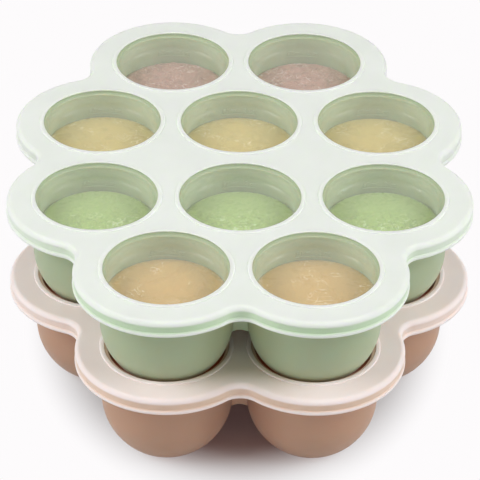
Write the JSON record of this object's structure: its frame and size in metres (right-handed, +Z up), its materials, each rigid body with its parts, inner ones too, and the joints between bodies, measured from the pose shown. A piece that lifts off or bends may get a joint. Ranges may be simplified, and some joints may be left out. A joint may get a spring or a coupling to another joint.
{
  "type": "baby food freezer tray",
  "caption": "Stack of lobed silicone freezer trays for baby food, with round cups in a flower layout, frosted lift-off lids with clear dished windows, and portions of puree.",
  "frame": {"origin": "middle of the stack's footprint, level with the feet of the lower tray's cups", "axes": "+X along the rows of cups, +Y from the front row to the back row along the longer side, +Z up"},
  "size_m": [0.1958, 0.2398, 0.0843],
  "materials": {
    "sage_silicone": "moulded silicone, soft matt",
    "mocha_silicone": "moulded silicone, soft matt",
    "green_white_lid": "frosted polypropylene with clear windows",
    "pink_white_lid": "frosted polypropylene with clear windows",
    "red_puree": "wet fruit puree",
    "yellow_puree": "wet vegetable puree",
    "green_puree": "wet vegetable puree",
    "orange_puree": "wet vegetable puree"
  },
  "bodies": {
    "lower_tray": {"lower_tray": "mocha_silicone"},
    "lower_lid": {"lower_lid": "pink_white_lid"},
    "upper_tray": {"upper_tray": "sage_silicone", "red_puree_left": "red_puree", "red_puree_right": "red_puree", "yellow_puree_left": "yellow_puree", "yellow_puree_centre": "yellow_puree", "yellow_puree_right": "yellow_puree", "green_puree_left": "green_puree", "green_puree_centre": "green_puree", "green_puree_right": "green_puree", "orange_puree_left": "orange_puree", "orange_puree_right": "orange_puree"},
    "upper_lid": {"upper_lid": "green_white_lid"}
  },
  "joints": [
    {"name": "lower_lid_lift", "type": "slide", "parent": "lower_tray", "child": "lower_lid", "axis": [0, 0, 1], "range_m": [0, 0.06]},
    {"name": "upper_tray_lift", "type": "slide", "parent": "lower_lid", "child": "upper_tray", "axis": [0, 0, 1], "range_m": [0, 0.06]},
    {"name": "upper_lid_lift", "type": "slide", "parent": "upper_tray", "child": "upper_lid", "axis": [0, 0, 1], "range_m": [0, 0.06]}
  ]
}
